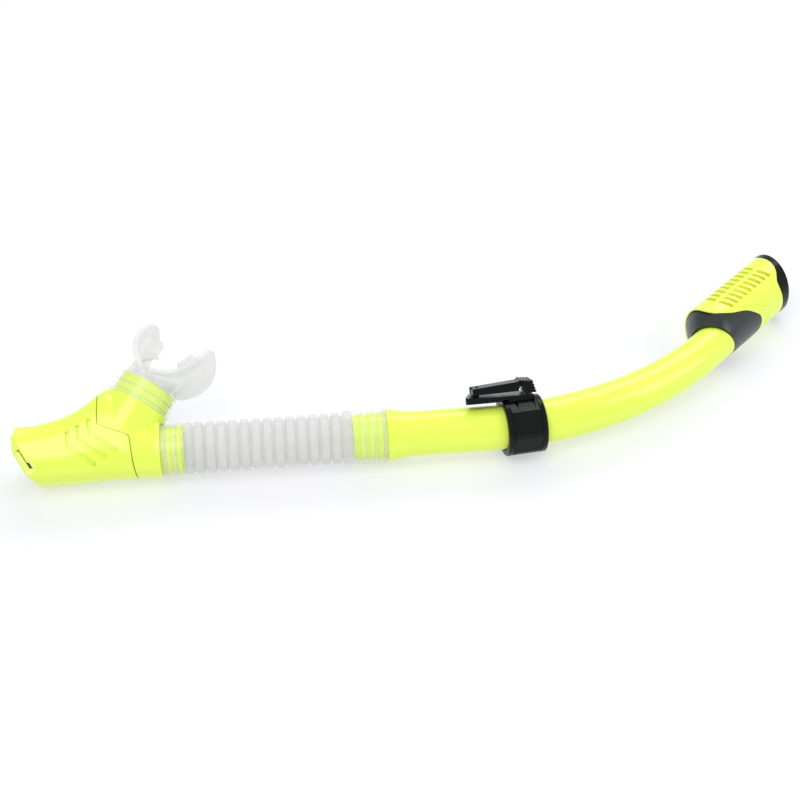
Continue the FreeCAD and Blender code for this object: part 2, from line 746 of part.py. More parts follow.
def mouthpiece():
    collar = [rod(x_from, x_to, radius) for x_from, x_to, radius in COLLAR_TIERS]
    top, top_r = COLLAR_TIERS[-1][1:]
    neck = [oval(top - 1, top_r - 0.3, top_r - 0.3)]
    neck.append(oval(NECK_TOP, NECK_HALF_WIDTH, NECK_HALF_HEIGHT))
    mouth = tilted(arch_slab(ARCH_R - FLANGE_WALL / 2, 1.0, FAR / 2, 0.0))
    solid = collar[0].fuse(collar[1:] + [Part.makeLoft(neck, True, True).cut(mouth)])
    solid = solid.fuse(tilted(mouth_flange().fuse(bite_tabs())))
    airway = [oval(PORT_END - 1, AIRWAY_HALF_WIDTH, AIRWAY_HALF_HEIGHT)]
    airway.append(oval(NECK_TOP, AIRWAY_HALF_WIDTH - 1, AIRWAY_HALF_HEIGHT - 1))
    port = rod(COLLAR_TIERS[0][0] - 1, PORT_END + 0.3, COLLAR_BORE_R)
    return solid.cut([port, Part.makeLoft(airway, True, True)])


# ---------------------------------------------------------------- keeper


def keeper_sleeve():
    half = KEEPER_LENGTH / 2
    edge = 0.6
    outline = [(-half, SLEEVE_BORE_R), (-half, FLANGE_R - edge), (-half + edge, FLANGE_R)]
    outline += [(FLANGE_WIDTH - half, FLANGE_R), (FLANGE_WIDTH - half, SLEEVE_R)]
    outline += [(-x, r) for x, r in outline[::-1]]
    return turned(outline)


def band_half_length():
    return KEEPER_LENGTH / 2 - FLANGE_WIDTH - BAND_GAP


def facets(apothem, half):
    """A prism along x with the keeper band's eight sides."""
    corner_r = apothem / math.cos(math.pi / BAND_SIDES)
    points = []
    for i in range(BAND_SIDES):
        angle = math.radians(BAND_TURN + 360.0 / BAND_SIDES * (i + 0.5))
        points.append(Vector(-half, corner_r * math.cos(angle), corner_r * math.sin(angle)))
    return Part.Face(Part.makePolygon(points + points[:1])).extrude(Vector(2 * half, 0, 0))


def keeper_band():
    half = band_half_length()
    solid = facets(BAND_APOTHEM, half).common(rod(-half, half, BAND_CORNER_R))
    solid = solid.cut(rod(-half - 1, half + 1, BAND_BORE_R))
    floor = BAND_APOTHEM - NOTCH_DEPTH
    for x in NOTCHES_X:
        left, right = x - NOTCH_WIDTH / 2, x + NOTCH_WIDTH / 2
        wedge = [Vector(left, NOTCH_TOP, floor), Vector(right, NOTCH_TOP, floor)]
        wedge.append(Vector(x + 0.4, NOTCH_TIP, floor))
        notch = Part.Face(Part.makePolygon(wedge + wedge[:1])).extrude(Vector(0, 0, 4))
        notch.rotate(NOWHERE, X_AXIS, BAND_TURN - 90)
        solid = solid.cut(notch)
    return solid


# ---------------------------------------------------------------- strap clip


def across(x, z, radius, half_width):
    """A round bar across the clip."""
    return Part.makeCylinder(radius, 2 * half_width, Vector(x, -half_width, z), Y_AXIS)


def clip_base():
    plan = rounded_slab(PLATE_PLAN, FAR / 2, PLATE_ROUND, (0, 3))
    plate = slab(PLATE_OUTLINE, FAR / 2, "xz").common(plan)
    across_pad = (-PAD_HALF_WIDTH, PAD_HALF_WIDTH)
    pad = box(PAD_X, across_pad, (BAND_BORE_R, PLATE_OUTLINE[2][1] + 0.2))
    band = facets(BAND_APOTHEM, FAR / 2).common(rod(-FAR / 2, FAR / 2, BAND_CORNER_R))
    band.rotate(NOWHERE, X_AXIS, 90 - CLIP_ANGLE)
    x, z = CLIP_PIVOT
    across_lug = (-LUG_HALF_WIDTH, LUG_HALF_WIDTH)
    lug = box((x - LUG_R, x + LUG_R), across_lug, (PLATE_OUTLINE[0][1] + 1, z))
    lug = lug.fuse(across(x, z, LUG_R, LUG_HALF_WIDTH))
    solid = plate.fuse([pad.cut(band), lug])
    return solid.cut(across(x, z, CLIP_PIN_R, ARM_HALF_WIDTH))


def clip_arm():
    thumb = slab(ARM_OUTLINE, THUMB_HALF_WIDTH, "xz")
    thumb = thumb.common(box((THUMB_FROM_X, FAR), (-FAR, FAR), (-FAR, FAR)))
    solid = slab(ARM_OUTLINE, ARM_HALF_WIDTH, "xz").fuse(thumb)
    x, z = CLIP_PIVOT
    side = LUG_HALF_WIDTH + LUG_GAP
    solid = solid.cut(box((-FAR, x + LUG_R + LUG_GAP), (-side, side), (0, FAR)))
    for groove_x, groove_z in THUMB_GROOVES:
        solid = solid.cut(across(groove_x, groove_z, THUMB_GROOVE_R, THUMB_HALF_WIDTH + 1))
    return solid.cut(across(x, z, CLIP_PIN_R + CLIP_RUNNING, THUMB_HALF_WIDTH))


def clip_pin():
    return across(CLIP_PIVOT[0], CLIP_PIVOT[1], CLIP_PIN_R, ARM_HALF_WIDTH - 0.1)


# ---------------------------------------------------------------- dry top


def below(edge, shift=0.0):
    """All of the head on the tube's side of a line across it."""
    points = [Vector(x + shift, y, -FAR / 2) for x, y in edge]
    line = Part.BSplineCurve()
    line.interpolate(Points=points)
    start, end = points[0], points[-1]
    corners = [end, Vector(-FAR, end.y, end.z), Vector(-FAR, start.y, start.z), start]
    wires = [line.toShape()] + [Part.makeLine(a, b) for a, b in zip(corners, corners[1:])]
    return Part.Face(Part.Wire(wires)).extrude(Vector(0, 0, FAR))


def head_solid(inset):
    """The head's round outside with its slanted, rounded far end, moved in by a wall."""
    end_x, disc_r, edge_r = CAP_END_X - inset, CAP_DISC_R - inset, CAP_ROUND - inset
    disc = rod(end_x - 2 * CAP_ROUND, end_x, disc_r)
    rim = [e for e in disc.Edges if e.BoundBox.XMin > end_x - 1 and e.Length > disc_r]
    disc = disc.makeFillet(edge_r, rim)
    beyond = box((end_x - edge_r, FAR), (-FAR, FAR), (-FAR, FAR)).cut(disc)
    beyond.rotate(Vector(CAP_END_X, 0, 0), Z_AXIS, -CAP_SLANT)
    return rod(-FAR / 2, FAR / 2, HEAD_R - inset).cut(beyond)


def boot_blank():
    """The boot's outside, rounded down to the tube and cut slantwise at its rim."""
    rings = []
    for x, outer, inner, half_depth in BOOT_SECTIONS:
        rings.append(squared_ring(x, (outer + inner) / 2, (inner - outer) / 2, half_depth, 2))
    return Part.makeLoft(rings, True, False).common(past_rim())


def tongue(edge):
    """The thin rim of one part of the head that slips inside the next."""
    ring = pipe(-60, 60, TONGUE_R, HEAD_R - HEAD_WALL)
    return ring.common(below(edge, TONGUE_REACH)).cut(below(edge, -TONGUE_REACH))


def tongue_room(edge):
    return rod(-60, 60, TONGUE_R + TONGUE_GAP).common(below(edge, TONGUE_REACH + 2 * TONGUE_GAP))


def dry_top_boot():
    blank = boot_blank()
    core = rod(CORE_X, FLOOR_X[1], HEAD_R - HEAD_WALL - TONGUE_GAP).common(blank)
    solid = blank.common(below(BOOT_EDGE, -HEAD_GAP)).fuse(tongue(BOOT_EDGE).common(blank))
    y = -HEAD_ASIDE
    cavity = rod(FLOOR_X[1], FAR, HEAD_R - HEAD_WALL)
    solid = solid.fuse(core)
    plug = rod(-60, FLOOR_X[0], PLUG_R + 0.02, y)
    return solid.cut([cavity, plug, rod(-60, FAR, PLUG_BORE_R, y)])


def slot_prism(i, side):
    """One slanted vent slot, drawn with the row of slots straight up."""
    x = FIRST_SLOT_X + SLOT_PITCH * i
    half = SLOT_LENGTH / 2 - SLOT_WIDTH / 4
    rise = math.tan(math.radians(SLOT_SLANT)) * half
    inner = (x - rise, side * (SLOT_MIDDLE_Y - half))
    outer = (x + rise, side * (SLOT_MIDDLE_Y + half))
    return stadium(inner, outer, SLOT_WIDTH, 8.0, 24.0)


def dry_top_cover():
    solid = head_solid(0.0).cut(below(BOOT_EDGE))
    solid = solid.common(below(CAP_EDGE, -HEAD_GAP))
    solid = solid.cut([rod(-FAR, FAR, HEAD_R - HEAD_WALL), tongue_room(BOOT_EDGE)])
    solid = solid.fuse(tongue(CAP_EDGE))
    slots = [slot_prism(i, side) for i in range(SLOT_COUNT) for side in (1, -1)]
    for slot in slots:
        slot.rotate(NOWHERE, X_AXIS, -SLOT_ROLL)
    solid = solid.cut(slots)
    skin = pipe(-60, 60, HEAD_R + 1, HEAD_R - TRIM_DEPTH)
    outer_half = box((-60, 60), (-FAR, -9.5), (-FAR, FAR))
    for offset in TRIM_OFFSETS:
        line = below(BOOT_EDGE, offset + TRIM_WIDTH).cut(below(BOOT_EDGE, offset))
        solid = solid.cut(line.common(skin).common(outer_half))
    return solid


def dry_top_cap():
    solid = head_solid(0.0).cut(below(CAP_EDGE))
    inside = head_solid(HEAD_WALL)
    return solid.cut([inside, tongue_room(CAP_EDGE)])


# ---------------------------------------------------------------- dry valve


def intake_tube():
    y = INTAKE_Y
    low = FLOOR_X[1]
    solid = rod(low, INTAKE_TOP_X, INTAKE_R, y).fuse(rod(low, low + INTAKE_FLANGE, INTAKE_FLANGE_R, y))
    pivot_x, pivot_y = FLAP_PIVOT
    outline = [(1.0, -3.0), (1.0, 3.0), (6.0, 6.8), (pivot_x + 2.2, 6.8)]
    outline += [(pivot_x + 2.2, pivot_y - 2.4), (5.4, pivot_y - 2.4), (5.4, -3.0)]
    for side in (1, -1):
        ear = slab(outline, (EAR_Z[1] - EAR_Z[0]) / 2)
        ear.translate(Vector(0, 0, side * sum(EAR_Z) / 2))
        solid = solid.fuse(ear)
    hole = Part.makeCylinder(FLAP_PIN_R, 2 * FAR, Vector(pivot_x, pivot_y, -FAR))
    return solid.cut([rod(low - 1, INTAKE_TOP_X + 1, INTAKE_BORE_R, y), hole])


def opened(shape):
    """The flap's pieces are drawn shut and swung open about their pin."""
    shape.rotate(Vector(*FLAP_PIVOT, 0), Z_AXIS, FLAP_OPEN)
    return shape


def valve_flap():
    x, y = FLAP_PIVOT
    low, high = FLAP_UNDERSIDE_X, FLAP_UNDERSIDE_X + FLAP_THICKNESS
    disc = rod(low, high, FLAP_DISC_R, INTAKE_Y)
    arm = box((low, high), (INTAKE_Y, y), (-4.6, 4.6))
    tail = box((low + 0.6, high + 0.6), (y, TAIL_END_Y), (-TAIL_HALF_WIDTH, TAIL_HALF_WIDTH))
    hub = Part.makeCylinder(FLAP_HUB_R, 11.0, Vector(x, y, -5.5))
    solid = disc.fuse([arm, tail, hub])
    bore = Part.makeCylinder(FLAP_PIN_R + FLAP_RUNNING, 40.0, Vector(x, y, -20))
    return opened(solid.cut(bore))


def flap_seal():
    high = FLAP_UNDERSIDE_X
    solid = rod(high - SEAL_THICKNESS, high, SEAL_R, INTAKE_Y)
    y = FLAP_PIVOT[1] - FLAP_HUB_R - 0.3
    return opened(solid.common(box((0, 20), (-FAR, y), (-FAR, FAR))))


def flap_pin():
    x, y = FLAP_PIVOT
    return Part.makeCylinder(FLAP_PIN_R, 2 * EAR_Z[1], Vector(x, y, -EAR_Z[1]))


def float_block():
    solid = rod(FLOAT_X[0], FLOAT_X[1], FLOAT_R)
    solid = solid.common(box((-FAR, FAR), (FLOAT_FACE_Y, FAR), (-FAR, FAR)))
    post = box((FLOAT_X[1] - 1, FLOAT_POST_TOP_X), FLOAT_POST_Y, (-2.0, 2.0))
    return solid.fuse(post)


# ---------------------------------------------------------------- the assembly

PIECES = (
    ("upper_tube", upper_tube, TUBE),
    ("flex_tube", flex_tube, TUBE),
    ("purge_cover", purge_cover, CHAMBER),
    ("chamber_body", chamber_body, CHAMBER),
    ("purge_seat", purge_seat, CHAMBER),
    ("purge_diaphragm", purge_diaphragm, CHAMBER),
    ("mouthpiece", mouthpiece, MOUTH),
    ("keeper_sleeve", keeper_sleeve, KEEPER),
    ("keeper_band", keeper_band, KEEPER),
    ("clip_base", clip_base, CLIP),
    ("clip_arm", clip_arm, CLIP),
    ("clip_pin", clip_pin, CLIP),
    ("dry_top_boot", dry_top_boot, HEAD),
    ("dry_top_cover", dry_top_cover, HEAD),
    ("dry_top_cap", dry_top_cap, HEAD),
    ("intake_tube", intake_tube, HEAD),
    ("valve_flap", valve_flap, HEAD),
    ("flap_seal", flap_seal, HEAD),
    ("flap_pin", flap_pin, HEAD),
    ("float_block", float_block, HEAD),
)

os.makedirs("parts", exist_ok=True)
whole = FreeCAD.BoundBox()
for piece_name, build, piece_frame in PIECES:
    whole.add(save(piece_name, build(), piece_frame).BoundBox)
print("whole", whole)
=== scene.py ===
import json
import math

import bmesh
import bpy
from mathutils import Matrix, Vector


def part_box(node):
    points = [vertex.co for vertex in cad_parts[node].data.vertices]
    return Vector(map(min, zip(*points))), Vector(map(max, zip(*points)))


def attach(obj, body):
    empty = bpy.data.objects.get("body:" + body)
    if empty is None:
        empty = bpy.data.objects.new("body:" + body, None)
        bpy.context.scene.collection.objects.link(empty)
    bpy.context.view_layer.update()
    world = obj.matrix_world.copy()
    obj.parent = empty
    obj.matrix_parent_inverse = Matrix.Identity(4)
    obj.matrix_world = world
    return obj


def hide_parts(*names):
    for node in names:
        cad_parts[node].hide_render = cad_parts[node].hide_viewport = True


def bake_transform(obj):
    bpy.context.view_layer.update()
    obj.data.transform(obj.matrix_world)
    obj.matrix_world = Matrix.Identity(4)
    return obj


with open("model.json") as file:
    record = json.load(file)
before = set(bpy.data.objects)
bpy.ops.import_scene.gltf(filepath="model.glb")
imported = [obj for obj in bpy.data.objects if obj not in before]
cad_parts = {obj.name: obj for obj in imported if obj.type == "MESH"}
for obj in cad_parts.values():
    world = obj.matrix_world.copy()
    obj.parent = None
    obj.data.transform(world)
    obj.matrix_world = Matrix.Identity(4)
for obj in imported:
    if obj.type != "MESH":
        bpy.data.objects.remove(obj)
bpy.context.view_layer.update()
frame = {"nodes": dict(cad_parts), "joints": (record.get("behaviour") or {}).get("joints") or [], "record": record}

# Looks of the dry-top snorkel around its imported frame. Lengths in metres, in the row
# frame; values named in millimetres are turned into metres with MM.
MM = 0.001
JOINTS = {joint["name"]: joint for joint in frame["joints"]}

# Where the port, the flap's pin and the chamber lie in the object, as in the CAD
PORT_ORIGIN_TO_JOINT = 37.0 * MM
FLAP_PIN_AHEAD = 9.5 * MM
FLAP_PIN_ASIDE = 4.6 * MM
CHAMBER_ROLL = math.radians(37.0)
PORT_ANGLE = math.radians(57.0)
SWIVEL = math.radians(71.0)


# ---------------------------------------------------------------- camera, light, floor

LOOK_AT = Vector((-19.1, -29.0, 17.8)) * MM
VIEW_AZIMUTH = math.radians(-5.75)
VIEW_ELEVATION = math.radians(40.5)
VIEW_DISTANCE = 0.855
FOCAL_LENGTH = 67.5
CLIP_NEAR, CLIP_FAR = 0.05, 20.0
WORLD_COLOUR = (0.97, 0.98, 1.0, 1.0)
WORLD_STRENGTH = 0.62
ORIGIN = (0, 0, 0)
FLOOR_SIZE = 8.0
# name, place, (width, depth), power, colour
LIGHTS = (
    ("key", (-0.5, -0.7, 1.3), (0.9, 0.9), 9.0, (1.0, 0.99, 0.98)),
    ("back", (0.2, 0.9, 1.0), (1.4, 0.5), 7.0, (1.0, 1.0, 1.0)),
    ("side", (1.1, -0.3, 0.7), (0.5, 0.9), 4.0, (0.97, 0.98, 1.0)),
)


def make_camera():
    data = bpy.data.cameras.new("camera")
    data.lens = FOCAL_LENGTH
    data.clip_start, data.clip_end = CLIP_NEAR, CLIP_FAR
    camera = bpy.data.objects.new("camera", data)
    bpy.context.scene.collection.objects.link(camera)
    flat = math.cos(VIEW_ELEVATION)
    east, north = math.sin(VIEW_AZIMUTH) * flat, -math.cos(VIEW_AZIMUTH) * flat
    back = Vector((east, north, math.sin(VIEW_ELEVATION)))
    camera.location = LOOK_AT + back * VIEW_DISTANCE
    camera.rotation_euler = (-back).to_track_quat("-Z", "Y").to_euler()
    bpy.context.scene.camera = camera


def make_light(name, place, size, power, colour):
    """An area light aimed at the origin."""
    data = bpy.data.lights.new(name, "AREA")
    data.shape = "RECTANGLE"
    data.size, data.size_y = size
    data.energy = power
    data.color = colour
    light = bpy.data.objects.new(name, data)
    bpy.context.scene.collection.objects.link(light)
    light.location = place
    aim = Vector(ORIGIN) - Vector(place)
    light.rotation_euler = aim.to_track_quat("-Z", "Y").to_euler()


def make_studio():
    scene = bpy.context.scene
    scene.view_settings.view_transform = "Standard"
    world = bpy.data.worlds.new("studio")
    world.use_nodes = True
    background = world.node_tree.nodes["Background"]
    background.inputs["Color"].default_value = WORLD_COLOUR
    background.inputs["Strength"].default_value = WORLD_STRENGTH
    scene.world = world
    for light in LIGHTS:
        make_light(*light)
    bpy.ops.mesh.primitive_plane_add(size=FLOOR_SIZE)
    floor = bpy.context.active_object
    floor.name = "floor"
    floor.data.materials.append(floor_material())


# ---------------------------------------------------------------- materials

PLASTIC_IOR = 1.5
SILICONE_IOR = 1.41
COAT_ROUGHNESS = 0.08
SCUFF_SHARE = (0.62, 0.70)
SCUFF_ROUGHNESS = 0.10
GRAIN_STRENGTH = 0.06
GRAIN_DEPTH = 0.0002
STEEL_GRAIN_STRENGTH = 0.15
STEEL_GRAIN_DEPTH = 0.0001
DEFAULT_SPECULAR = 0.5
BLACK_SPECULAR = 0.18
CLOUDING = 0.95
FLOOR_GLOW = (0.985, 0.985, 1.0, 1.0)
FLOOR_GLOW_STRENGTH = 0.5


def shader(name):
    material = bpy.data.materials.new(name)
    material.use_nodes = True
    tree = material.node_tree
    return material, tree, tree.nodes["Principled BSDF"]


def noise(tree, scale, detail=3.0, stretch=(1.0, 1.0, 1.0)):
    """A noise texture in the piece's own coordinates; scale is features per metre."""
    place = tree.nodes.new("ShaderNodeTexCoord")
    mapping = tree.nodes.new("ShaderNodeMapping")
    mapping.inputs["Scale"].default_value = stretch
    texture = tree.nodes.new("ShaderNodeTexNoise")
    texture.inputs["Scale"].default_value = scale
    texture.inputs["Detail"].default_value = detail
    tree.links.new(place.outputs["Object"], mapping.inputs["Vector"])
    tree.links.new(mapping.outputs["Vector"], texture.inputs["Vector"])
    return texture.outputs["Fac"]


def ramp(tree, value, stops):
    """Colours or greys along a value; stops are (position, colour)."""
    node = tree.nodes.new("ShaderNodeValToRGB")
    elements = node.color_ramp.elements
    while len(elements) < len(stops):
        elements.new(0.5)
    for element, (position, colour) in zip(elements, stops):
        element.position = position
        element.color = (*colour, 1.0)
    tree.links.new(value, node.inputs["Fac"])
    return node.outputs["Color"]


def remap(tree, value, low, high, to_low, to_high):
    node = tree.nodes.new("ShaderNodeMapRange")
    node.inputs["From Min"].default_value = low
    node.inputs["From Max"].default_value = high
    node.inputs["To Min"].default_value = to_low
    node.inputs["To Max"].default_value = to_high
    tree.links.new(value, node.inputs["Value"])
    return node.outputs["Result"]


def bump(tree, bsdf, height, strength, distance):
    node = tree.nodes.new("ShaderNodeBump")
    node.inputs["Strength"].default_value = strength
    node.inputs["Distance"].default_value = distance
    tree.links.new(height, node.inputs["Height"])
    tree.links.new(node.outputs["Normal"], bsdf.inputs["Normal"])


def scuffs(tree):
    """Sparse long fine scratches, 0 to 1."""
    lines = noise(tree, 60.0, 2.0, (1.0, 14.0, 14.0))
    return remap(tree, lines, *SCUFF_SHARE, 0.0, 1.0)


def moulded_plastic(
    name, colour, roughness, coat, variation=0.05, specular=DEFAULT_SPECULAR
):
    """Moulded plastic: faint flow marks in the colour, uneven gloss, fine scuffs."""
    material, tree, bsdf = shader(name)
    deeper = tuple(c * (1 - variation) for c in colour)
    flow = noise(tree, 35.0, 2.0, (0.4, 1.0, 1.0))
    tree.links.new(ramp(tree, flow, ((0.35, deeper), (0.65, colour))), bsdf.inputs["Base Color"])
    gloss = tree.nodes.new("ShaderNodeMath")
    gloss.operation = "MULTIPLY_ADD"
    tree.links.new(scuffs(tree), gloss.inputs[0])
    gloss.inputs[1].default_value = SCUFF_ROUGHNESS
    even = remap(tree, noise(tree, 220.0, 4.0), 0.3, 0.7, roughness - 0.04, roughness + 0.05)
    tree.links.new(even, gloss.inputs[2])
    tree.links.new(gloss.outputs["Value"], bsdf.inputs["Roughness"])
    bump(tree, bsdf, noise(tree, 900.0, 3.0), GRAIN_STRENGTH, GRAIN_DEPTH)
    bsdf.inputs["IOR"].default_value = PLASTIC_IOR
    bsdf.inputs["Specular IOR Level"].default_value = specular
    bsdf.inputs["Coat Weight"].default_value = coat
    bsdf.inputs["Coat Roughness"].default_value = COAT_ROUGHNESS
    return material


def silicone(name, colour, cover, roughness):
    """Soft milky rubber: faint clouding, a satin skin, and part of the light let through."""
    material, tree, bsdf = shader(name)
    clouded = tuple(c * CLOUDING for c in colour)
    cloud = noise(tree, 90.0, 3.0)
    tree.links.new(ramp(tree, cloud, ((0.35, clouded), (0.7, colour))), bsdf.inputs["Base Color"])
    skin = remap(tree, noise(tree, 400.0, 3.0), 0.3, 0.7, roughness - 0.05, roughness + 0.07)
    tree.links.new(skin, bsdf.inputs["Roughness"])
    bump(tree, bsdf, noise(tree, 700.0, 3.0), GRAIN_STRENGTH, GRAIN_DEPTH)
    bsdf.inputs["IOR"].default_value = SILICONE_IOR
    bsdf.inputs["Alpha"].default_value = cover
    return material


def ground_steel(name):
    """Steel ground along its length: fine lines in the colour and the gloss."""
    material, tree, bsdf = shader(name)
    lines = noise(tree, 900.0, 2.0, (1.0, 1.0, 12.0))
    tones = ((0.3, (0.42, 0.43, 0.45)), (0.7, (0.62, 0.63, 0.65)))
    tree.links.new(ramp(tree, lines, tones), bsdf.inputs["Base Color"])
    tree.links.new(remap(tree, lines, 0.3, 0.7, 0.22, 0.4), bsdf.inputs["Roughness"])
    bump(tree, bsdf, lines, STEEL_GRAIN_STRENGTH, STEEL_GRAIN_DEPTH)
    bsdf.inputs["Metallic"].default_value = 1.0
    return material


def floor_material():
    """A pale table top, lit a little from within so that the object's colour stays off it."""
    material, tree, bsdf = shader("floor")
    tones = ((0.3, (0.42, 0.42, 0.445)), (0.7, (0.44, 0.44, 0.455)))
    tree.links.new(ramp(tree, noise(tree, 6.0), tones), bsdf.inputs["Base Color"])
    bsdf.inputs["Roughness"].default_value = 0.7
    bsdf.inputs["Specular IOR Level"].default_value = 0.1
    bsdf.inputs["Emission Color"].default_value = FLOOR_GLOW
    bsdf.inputs["Emission Strength"].default_value = FLOOR_GLOW_STRENGTH
    return material


YELLOW = moulded_plastic("yellow_plastic", (0.82, 1.0, 0.10), 0.26, 0.2)
BLACK = moulded_plastic(
    "black_plastic", (0.0045, 0.006, 0.0055), 0.24, 0.0, 0.3, BLACK_SPECULAR
)
# The liner's orange is painted light. It stands in for the yellow glow that the cover throws on the white parts
# inside, and it is made brighter against the shade there.
LINER_PAINTED_GLOW = moulded_plastic("liner_painted_yellow_glow", (1.0, 0.56, 0.01), 0.40, 0.0)
CLEAR = silicone("clear_silicone", (0.815, 0.815, 0.79), 0.38, 0.34)
CUFF = silicone("clear_silicone_cuff", (0.815, 0.815, 0.78), 0.22, 0.34)
CUFF_THIN = silicone("clear_silicone_stretched", (0.815, 0.82, 0.75), 0.08, 0.34)
BOOT = moulded_plastic("boot_plastic", (0.018, 0.026, 0.024), 0.30, 0.0, 0.3)
SEAL = silicone("seal_silicone", (0.78, 0.80, 0.80), 0.9, 0.42)
WHITE = moulded_plastic("white_plastic", (0.80, 0.81, 0.76), 0.40, 0.0)
STEEL = ground_steel("pin_steel")
SLOT_MATERIALS = {
    "yellow_shell": YELLOW,
    "black_shell": BLACK,
    "clear_silicone": CLEAR,
    "seal_silicone": SEAL,
    "white_plastic": WHITE,
    "pin_steel": STEEL,
}
NODE_MATERIALS = {"dry_top_boot": BOOT}


def dress_nodes():
    """Gives every CAD node its own material, or the material of its slot."""
    for part in frame["record"]["subparts"]:
        node = frame["nodes"][part["node"]]
        material = NODE_MATERIALS.get(part["node"], SLOT_MATERIALS[part["material_slot"]])
        for holder in node.material_slots:
            holder.material = material
        if not node.material_slots:
            node.data.materials.append(material)


# ---------------------------------------------------------------- mesh building

TUBE_SEGMENTS = 144


def ring_shell(rings):
    """Points and faces of a closed shell over rings that close on one another."""
    count, size = len(rings), len(rings[0])
    faces = []
    for i in range(count):
        k = (i + 1) % count
        for j in range(size):
            n = (j + 1) % size
            faces.append((i * size + j, i * size + n, k * size + n, k * size + j))
    return [tuple(p) for ring in rings for p in ring], faces


def ring_mesh(name, rings):
    points, faces = ring_shell(rings)
    mesh = bpy.data.meshes.new(name)
    mesh.from_pydata(points, [], faces)
    mesh.validate()
    mesh.shade_smooth()
    return mesh


def add_object(name, mesh, material):
    piece = bpy.data.objects.new(name, mesh)
    bpy.context.scene.collection.objects.link(piece)
    mesh.materials.clear()
    mesh.materials.append(material)
    return piece


def revolved(profile, place, segments=TUBE_SEGMENTS):
    """Rings of a closed (along, radius) profile about the x axis of a frame."""
    rows = []
    for along, radius in profile:
        ring = []
        for j in range(segments):
            turn = 2 * math.pi * j / segments
            local = Vector((along, radius * math.cos(turn), radius * math.sin(turn)))
            ring.append(place @ local)
        rows.append(ring)
    return rows


def smooth_step(t):
    """Eases from 0 to 1 as t goes from 0 to 1."""
    t = min(max(t, 0.0), 1.0)
    return t * t * (3 - 2 * t)


# ---------------------------------------------------------------- corrugated tube

CREST_COUNT = 13
CREST_STEPS = 12
CREST_R = 14.2 * MM
GROOVE_R = 12.3 * MM
FLEX_WALL = 1.5 * MM
CREST_SHARE = 0.68
LOWER_CUFF_R = 14.3 * MM
UPPER_CUFF_R = 14.9 * MM
CUFF_LIP_R = 15.15 * MM
CUFF_BORE_R = 13.25 * MM
LOWER_CUFF_LENGTH = 17.2 * MM
UPPER_CUFF_LENGTH = 24.7 * MM
LOWER_SPIGOT_LENGTH = 12.5 * MM
UPPER_SPIGOT_LENGTH = 19.2 * MM
EDGE_ROUND = 0.5 * MM
GROOVE_SHARPNESS = 0.25
CUFF_FLAT_END = 1.6 * MM
CUFF_STEP_END = 1.0 * MM
LOWER_CUFF_STEP = 0.4 * MM
# Where the cuffs are stretched clear over the spigots' ribs, from each end of the tube
LOWER_STRETCHED = ((3.2 * MM, 6.2 * MM), (8.2 * MM, 12.1 * MM))
UPPER_STRETCHED = ((2.6 * MM, 6.6 * MM), (7.6 * MM, 12.2 * MM), (13.2 * MM, 18.6 * MM))


def corrugated_radius(share):
    """Outer radius over one pitch: a flat-topped crest between narrow grooves."""
    from_middle = abs(share - 0.5) * 2
    rise = smooth_step((1.0 - from_middle) / (1.0 - CREST_SHARE) - GROOVE_SHARPNESS)
    return GROOVE_R + (CREST_R - GROOVE_R) * rise


def flex_profile(start, end):
    """Closed (along, radius) outline of the wall: a smooth cuff, the folds, a smooth cuff."""
    lower, upper = start + LOWER_CUFF_LENGTH, end - UPPER_CUFF_LENGTH
    pitch = (upper - lower) / CREST_COUNT
    folds = []
    for i in range(CREST_COUNT * CREST_STEPS + 1):
        share = (i % CREST_STEPS) / CREST_STEPS
        folds.append((lower + pitch * i / CREST_STEPS, corrugated_radius(share)))
    outside = [(start, LOWER_CUFF_R - EDGE_ROUND), (start + EDGE_ROUND, LOWER_CUFF_R)]
    lower_marks = [start + mark for span in LOWER_STRETCHED for mark in span]
    upper_marks = [end - mark for span in UPPER_STRETCHED for mark in span][::-1]
    outside += [(x, LOWER_CUFF_R) for x in lower_marks]
    outside += [(lower - CUFF_FLAT_END, LOWER_CUFF_R)]
    outside += [(lower - CUFF_STEP_END, LOWER_CUFF_R - LOWER_CUFF_STEP)]
    outside += folds
    outside += [(upper + CUFF_STEP_END, UPPER_CUFF_R - EDGE_ROUND)]
    outside += [(upper + CUFF_FLAT_END, UPPER_CUFF_R)]
    outside += [(x, UPPER_CUFF_R) for x in upper_marks] + [(end - EDGE_ROUND, CUFF_LIP_R)]
    outside += [(end, CUFF_LIP_R - EDGE_ROUND)]
    inner_end, inner_start = end - UPPER_SPIGOT_LENGTH, start + LOWER_SPIGOT_LENGTH
    inside = [(end, CUFF_BORE_R)] + [(x, CUFF_BORE_R) for x in upper_marks[::-1]]
    inside += [(inner_end, CUFF_BORE_R), (inner_end, GROOVE_R - FLEX_WALL)]
    inside += [(x, r - FLEX_WALL) for x, r in folds[::-1]]
    inside += [(inner_start, GROOVE_R - FLEX_WALL), (inner_start, CUFF_BORE_R)]
    inside += [(x, CUFF_BORE_R) for x in lower_marks[::-1]] + [(start, CUFF_BORE_R)]
    return outside + inside


def within(value, spans):
    """Whether the value lies in one of the (start, end) spans."""
    return any(start <= value <= end for start, end in spans)


def clear_over_spigots(mesh, over_spigot, stretched):
    """Lets more light through where the silicone lies on a spigot, most over its ribs."""
    mesh.materials.append(CUFF)
    mesh.materials.append(CUFF_THIN)
    for polygon in mesh.polygons:
        if over_spigot(polygon.center):
            polygon.material_index = 2 if stretched(polygon.center) else 1


